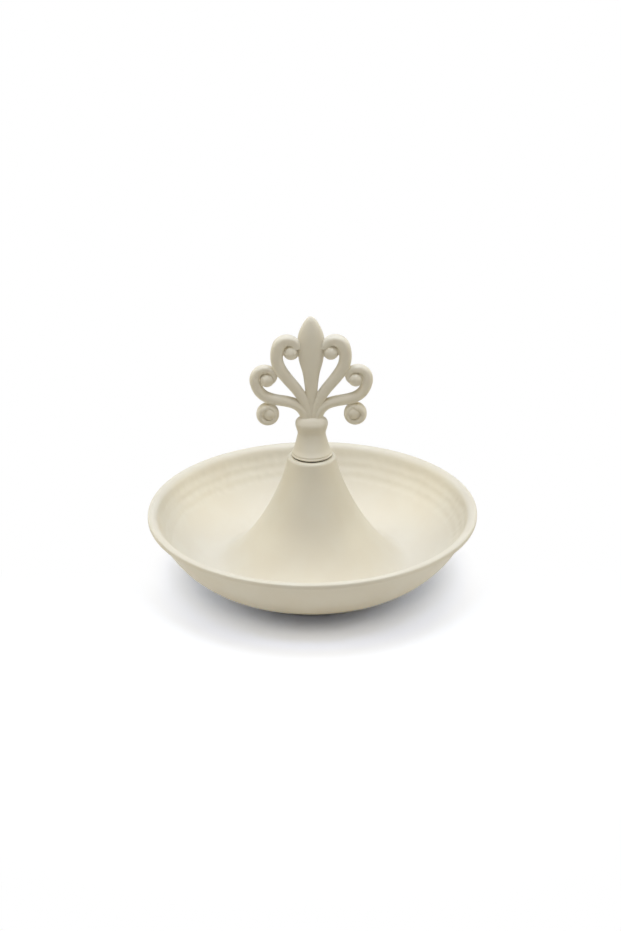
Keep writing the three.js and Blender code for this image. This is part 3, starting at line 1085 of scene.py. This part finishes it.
@dataclass
class Fixings:
    """What holds the finial on: the gasket under it, and the screw with its washers from below."""

    plate_top: float = 98.0
    plate_underside: float = 94.0
    gasket_radius: float = 14.47
    gasket_thickness: float = 0.9
    gasket_edge: float = 0.25
    hole_radius: float = 3.3
    washer_radius: float = 9.0
    washer_thickness: float = 1.6
    washer_edge: float = 0.3
    spring_radius: float = 5.9
    spring_thickness: float = 1.6
    spring_edge: float = 0.22
    spring_split: float = 14.0
    spring_slant: float = 0.08
    spring_ends: float = 0.6
    ring_sides: int = 128
    screw_radius: float = 3.0
    screw_length: float = 20.0
    screw_sides: int = 72
    thread_pitch: float = 1.0
    thread_depth: float = 0.55
    thread_rings: int = 12
    thread_start: float = 0.6
    thread_run: float = 1.2
    point_length: float = 0.9
    point_taper: float = 0.85
    point_radius: float = 1.6
    head_radius: float = 5.25
    head_height: float = 3.3
    head_crown: float = 0.55
    key_flats: float = 4.0
    key_depth: float = 2.0

    def ring(self, outer: float, thickness: float, edge: float) -> Skin:
        """A flat ring with rounded edges.

        Args:
            outer: Its outer radius.
            thickness: How thick it is.
            edge: How far its edges are rounded.

        Returns:
            The ring, standing on height 0.
        """
        inner = self.hole_radius
        profile = [(inner, 0.0), (inner, thickness), (outer, thickness), (outer, 0.0)]
        return turned(bevelled(profile, edge), self.ring_sides)

    def spring_washer(self) -> Skin:
        """A split ring whose two ends are cut on the slant.

        Returns:
            The ring, standing on height 0.
        """
        inner, outer, thick = self.hole_radius, self.spring_radius, self.spring_thickness
        section = bevelled([(outer, 0.0), (outer, thick), (inner, thick), (inner, 0.0)], self.spring_edge)
        start = math.radians(self.spring_split / 2)
        end = 2 * math.pi - start
        turns = np.linspace(start, end, 90)
        leans = np.interp(turns, [start, start + self.spring_ends, end - self.spring_ends, end], [1, 0, 0, 1])
        rings = []
        for turn, lean in zip(turns, leans):
            angle = turn + self.spring_slant * lean * (2 * section[:, 1] / thick - 1)
            rings.append(level_ring(section[:, 0], section[:, 1], angle))
        return loft(np.array(rings))

    def head_rows(self, turns: np.ndarray) -> list[tuple[np.ndarray, float]]:
        """The screw head's rings: key socket, crown and bearing face.

        Args:
            turns: Angle of each step round the head.

        Returns:
            For each ring, its radius at each angle and its height.
        """
        sixth = math.pi / 3
        flats = self.key_flats / 2 / np.cos((turns + sixth / 2) % sixth - sixth / 2)
        floor = -self.head_height + self.key_depth
        crown = self.head_radius * self.head_crown
        rows = [(0 * turns + 0.05, floor + 0.5), (0.5 * flats, floor + 0.25), (0.97 * flats, floor)]
        rows += [(flats, h) for h in np.linspace(floor - 0.1, -self.head_height + 0.25, 6)]
        rows += [(flats + 0.05, -self.head_height + 0.08), (flats + 0.2, -self.head_height)]
        rows += [(0.5 * flats + 0.5 * crown, -self.head_height), (0 * turns + crown, -self.head_height + 0.01)]
        for t in np.linspace(0, 1, 12)[1:]:
            radius = (1 - t) ** 2 * crown + (1 - (1 - t) ** 2) * self.head_radius
            rows.append((0 * turns + radius, -self.head_height * (1 - t**2) - 0.12 * t**2))
        rows += [(0 * turns + self.head_radius - 0.12, 0.0), (0 * turns + self.screw_radius + 0.25, 0.0)]
        return rows

    def screw(self) -> Skin:
        """A button-head screw with a hexagon socket and a rolled thread.

        Returns:
            The screw, pointing up, with its bearing face at height 0.
        """
        turns = steps_round(self.screw_sides)
        rows = self.head_rows(turns)
        for height in np.arange(0.12, self.screw_length, self.thread_pitch / self.thread_rings):
            phase = (height / self.thread_pitch - turns / (2 * math.pi)) % 1
            groove = np.clip(1.25 - 3.4 * np.abs(phase - 0.5), 0.0, 1.0)
            grown = min(1.0, max(height - self.thread_start, 0.0) / self.thread_run)
            point = max(0.0, height - (self.screw_length - self.point_length))
            cut = self.thread_depth * groove * grown
            rows.append((self.screw_radius - cut - self.point_taper * point, height))
        rows += [(0 * turns + self.point_radius, self.screw_length), (0 * turns + 0.05, self.screw_length)]
        return loft(np.array([level_ring(radius, height, turns) for radius, height in rows]))

    def build(self, materials: Mapping[Finish, bpy.types.Material]) -> None:
        """Makes the gasket, the washers and the screw, and dresses them.

        Args:
            materials: The material of each finish.
        """
        washer_height = self.plate_underside - self.washer_thickness
        seat = washer_height - self.spring_thickness
        gasket = self.ring(self.gasket_radius, self.gasket_thickness, self.gasket_edge)
        washer = self.ring(self.washer_radius, self.washer_thickness, self.washer_edge)
        pieces = [
            (gasket, self.plate_top, "seat_gasket", Finish.GASKET),
            (washer, washer_height, "flat_washer", Finish.ZINC),
            (self.spring_washer(), seat, "spring_washer", Finish.ZINC),
            (self.screw(), seat, "fixing_screw", Finish.ZINC),
        ]
        for skin, height, node, finish in pieces:
            body = "fixing_screw" if node == "fixing_screw" else "dish"
            dress(skin.lifted(height).object(f"{node}_piece"), node, body, finish, materials)


@dataclass
class FootPads:
    """The bumper pads under the foot ring: low domes with a flat tread."""

    count: int = 4
    circle: float = 68.5
    first_angle: float = 45.0
    radius: float = 3.2
    height: float = 1.6
    edge: float = 0.5
    sides: int = 64

    def skin(self, place: np.ndarray) -> Skin:
        """One pad.

        Args:
            place: Where on the floor it stands.

        Returns:
            The closed skin.
        """
        radius, top = self.radius, self.height
        side = bent([radius - 2 * self.edge, 0.0], [radius - self.edge / 2, 0.1], [radius, top - 0.2], 12)
        shape = [(0.02, 0.0), (1.2, 0.0), *side, (radius - 0.06, top - 0.04), (radius - 0.2, top), (0.02, top)]
        turns = steps_round(self.sides)
        return loft(np.array([level_ring(r, h, turns, place) for r, h in shape]))

    def build(self, materials: Mapping[Finish, bpy.types.Material]) -> None:
        """Makes the pads round the foot ring and dresses them.

        Args:
            materials: The material of each finish.
        """
        for i in range(self.count):
            place = polar(self.circle, self.first_angle + 360 * i / self.count)
            piece = self.skin(place).object(f"foot_pad_{i + 1}_piece")
            dress(piece, f"foot_pad_{i + 1}", "dish", Finish.PAD, materials)


# Studio


@dataclass(frozen=True)
class Lamp:
    """A square softbox that faces the dish, in metres."""

    name: str
    place: tuple[float, float, float]
    side: float
    brightness: float
    colour: Colour = (1.0, 1.0, 1.0)
    aim: tuple[float, float, float] = (0.0, 0.0, 0.06)

    def light(self) -> None:
        """Adds the softbox to the scene."""
        data = bpy.data.lights.new(self.name, "AREA")
        data.shape = "SQUARE"
        data.size = self.side
        data.energy = self.brightness * math.pi * self.side**2
        data.color = self.colour
        lamp = bpy.data.objects.new(self.name, data)
        lamp.location = self.place
        lamp.rotation_euler = (Vector(self.aim) - Vector(self.place)).to_track_quat("-Z", "Y").to_euler()
        bpy.context.scene.collection.objects.link(lamp)


@dataclass
class Studio:
    """White floor, soft lamps and the camera at the photograph's angle, in metres and degrees.

    The floor lights the dish as floor_colour does. To the eye it is brighter, and its shadow is partly painted:
    floor_glare gives the colour that it shows at each distance from the dish's axis, which paints the shadow's depth
    and keeps it neutral. Beyond wash_reach the shadow is painted out towards white, wholly behind wash_depth and by
    wash_front in front of it, and beyond far_reach it is white.
    """

    lamps: tuple[Lamp, ...] = (
        Lamp("softbox_top", (0.0, -0.05, 1.6), 1.2, 5.8, (0.803, 0.87, 1.0)),
        Lamp("softbox_front", (0.0, -1.1, 1.5), 1.0, 1.12, (1.0, 0.83, 0.47)),
        Lamp("softbox_left", (-1.6, 0.0, 0.8), 1.0, 2.62, (1.0, 0.91, 0.65)),
        Lamp("softbox_right", (1.6, 0.0, 0.8), 1.0, 2.44, (1.0, 0.91, 0.65)),
        Lamp("softbox_back_left", (-1.2, 1.2, 0.7), 1.0, 0.76, (0.93, 1.0, 0.93)),
        Lamp("softbox_back_right", (1.2, 1.2, 0.7), 1.0, 0.76, (0.93, 1.0, 0.93)),
    )
    sky: float = 0.01
    sky_colour: Colour = (1.0, 1.0, 1.0)
    floor_size: float = 6.0
    floor_colour: Colour = (0.91, 0.88, 0.825)
    floor_glare: tuple[tuple[float, Colour], ...] = (
        (0.078, (1.19, 1.37, 2.03)),
        (0.106, (1.42, 1.57, 2.13)),
        (0.128, (1.1, 1.11, 1.17)),
        (0.146, (1.04, 1.04, 1.05)),
    )
    wash_reach: tuple[float, float] = (0.085, 0.13)
    wash_depth: tuple[float, float] = (-0.1, 0.0)
    wash_front: float = 0.22
    far_reach: tuple[float, float] = (0.24, 0.42)
    frame_height: float = 931.0
    sensor: float = 36.0
    focal_length: float = 1704.3
    distance: float = 1.3
    elevation: float = 26.03
    target: tuple[float, float, float] = (0.0, 0.0, 0.05)
    pitch: float = 1.575
    yaw: float = 0.0625
    roll: float = 0.49

    def camera(self) -> None:
        """Adds the camera and makes it the scene's."""
        data = bpy.data.cameras.new("camera")
        data.sensor_width = self.sensor
        data.lens = self.focal_length * self.sensor / self.frame_height
        data.clip_end = 20.0
        camera = bpy.data.objects.new("camera", data)
        bpy.context.scene.collection.objects.link(camera)
        rise = math.radians(self.elevation)
        away = Vector((0.0, -math.cos(rise), math.sin(rise))) * self.distance
        look = (-away).to_track_quat("-Z", "Y").to_matrix()
        turn = Matrix.Rotation(math.radians(self.yaw), 3, "Y") @ Matrix.Rotation(math.radians(self.pitch), 3, "X")
        tilt = Matrix.Rotation(math.radians(-self.roll), 3, "Z")
        camera.matrix_world = Matrix.Translation(Vector(self.target) + away) @ (look @ tilt @ turn).to_4x4()
        bpy.context.scene.camera = camera

    @staticmethod
    def seen(graph: Graph) -> Signal:
        """Tells the rays that show a surface from those that carry its light.

        Args:
            graph: The graph that asks.

        Returns:
            1 for rays from the camera or off glossy and clear surfaces, 0 for the others.
        """
        camera = graph.node("ShaderNodeLightPath", output="Is Camera Ray")
        glossy = graph.node("ShaderNodeLightPath", output="Is Glossy Ray")
        clear = graph.node("ShaderNodeLightPath", output="Is Transmission Ray")
        return camera.at_least(glossy).at_least(clear)

    def world(self) -> None:
        """Adds a dim even sky that looks white."""
        made = bpy.data.worlds.new("studio")
        bpy.context.scene.world = made
        graph = Graph(made)
        dim = graph.node("ShaderNodeBackground", None, {"Color": self.sky_colour, "Strength": self.sky})
        white = graph.node("ShaderNodeBackground", None, {"Color": (1.0, 1.0, 1.0), "Strength": 1.0})
        mixed = graph.node("ShaderNodeMixShader", None, {0: self.seen(graph), 1: dim, 2: white})
        graph.surface(mixed, "ShaderNodeOutputWorld")

    def floor(self) -> None:
        """Adds a white floor on which only the dish's shadow stands out."""
        half = self.floor_size / 2 / MM
        square = np.array([[-half, -half, 0.0], [half, -half, 0.0], [half, half, 0.0], [-half, half, 0.0]])
        floor = Skin(square, [(0, 1, 2, 3)]).object("floor")
        made = bpy.data.materials.new("floor_white")
        graph = Graph(made)
        seen = self.seen(graph)
        reach = graph.node("ShaderNodeVectorMath", {"operation": "LENGTH"}, {0: graph.place()}, output="Value")
        matt = graph.node("ShaderNodeBsdfDiffuse", None, {"Color": self.floor_colour})
        # Painted shadow: the colour shown to the eye steps with distance from the axis, setting the shadow's depth and
        # tint.
        start, colour = self.floor_glare[0]
        glare = graph.node("ShaderNodeBsdfDiffuse", None, {"Color": colour})
        for end, colour in self.floor_glare[1:]:
            further = graph.node("ShaderNodeBsdfDiffuse", None, {"Color": colour})
            glare = graph.node("ShaderNodeMixShader", None, {0: reach.ramp(start, end), 1: glare, 2: further})
            start = end
        near = graph.node("ShaderNodeMixShader", None, {0: seen, 1: matt, 2: glare})
        white = graph.node("ShaderNodeEmission", None, {"Color": (1.0, 1.0, 1.0), "Strength": 1.0})
        depth = graph.node("ShaderNodeSeparateXYZ", None, {0: graph.place()}, output="Y")
        # Painted light: beyond wash_reach the shadow is mixed towards white, wholly behind the dish and partly in
        # front.
        behind = self.wash_front + (1.0 - self.wash_front) * depth.ramp(*self.wash_depth)
        washed = reach.ramp(*self.wash_reach) * behind
        far = washed.at_least(reach.ramp(*self.far_reach)) * seen
        graph.surface(graph.node("ShaderNodeMixShader", None, {0: far, 1: near, 2: white}))
        floor.data.materials.append(made)

    def build(self) -> None:
        """Sets up the floor, the light, the colour view and the camera."""
        bpy.context.scene.view_settings.view_transform = "Standard"
        self.floor()
        self.world()
        for lamp in self.lamps:
            lamp.light()
        self.camera()
        LOG.info("studio: %d lamps", len(self.lamps))


def corners(box: tuple[Vector, Vector]) -> list[list[float]]:
    """A box's lowest and highest corners as plain lists."""
    return [list(corner) for corner in box]


def main() -> None:
    """Builds the pieces round the frame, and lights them."""
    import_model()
    materials = finishes()
    for part in (Dish(), Finial(), Fixings(), FootPads()):
        part.build(materials)
    Studio().build()


if __name__ == "__main__":
    logging.basicConfig(level=logging.INFO, format="%(message)s")
    main()
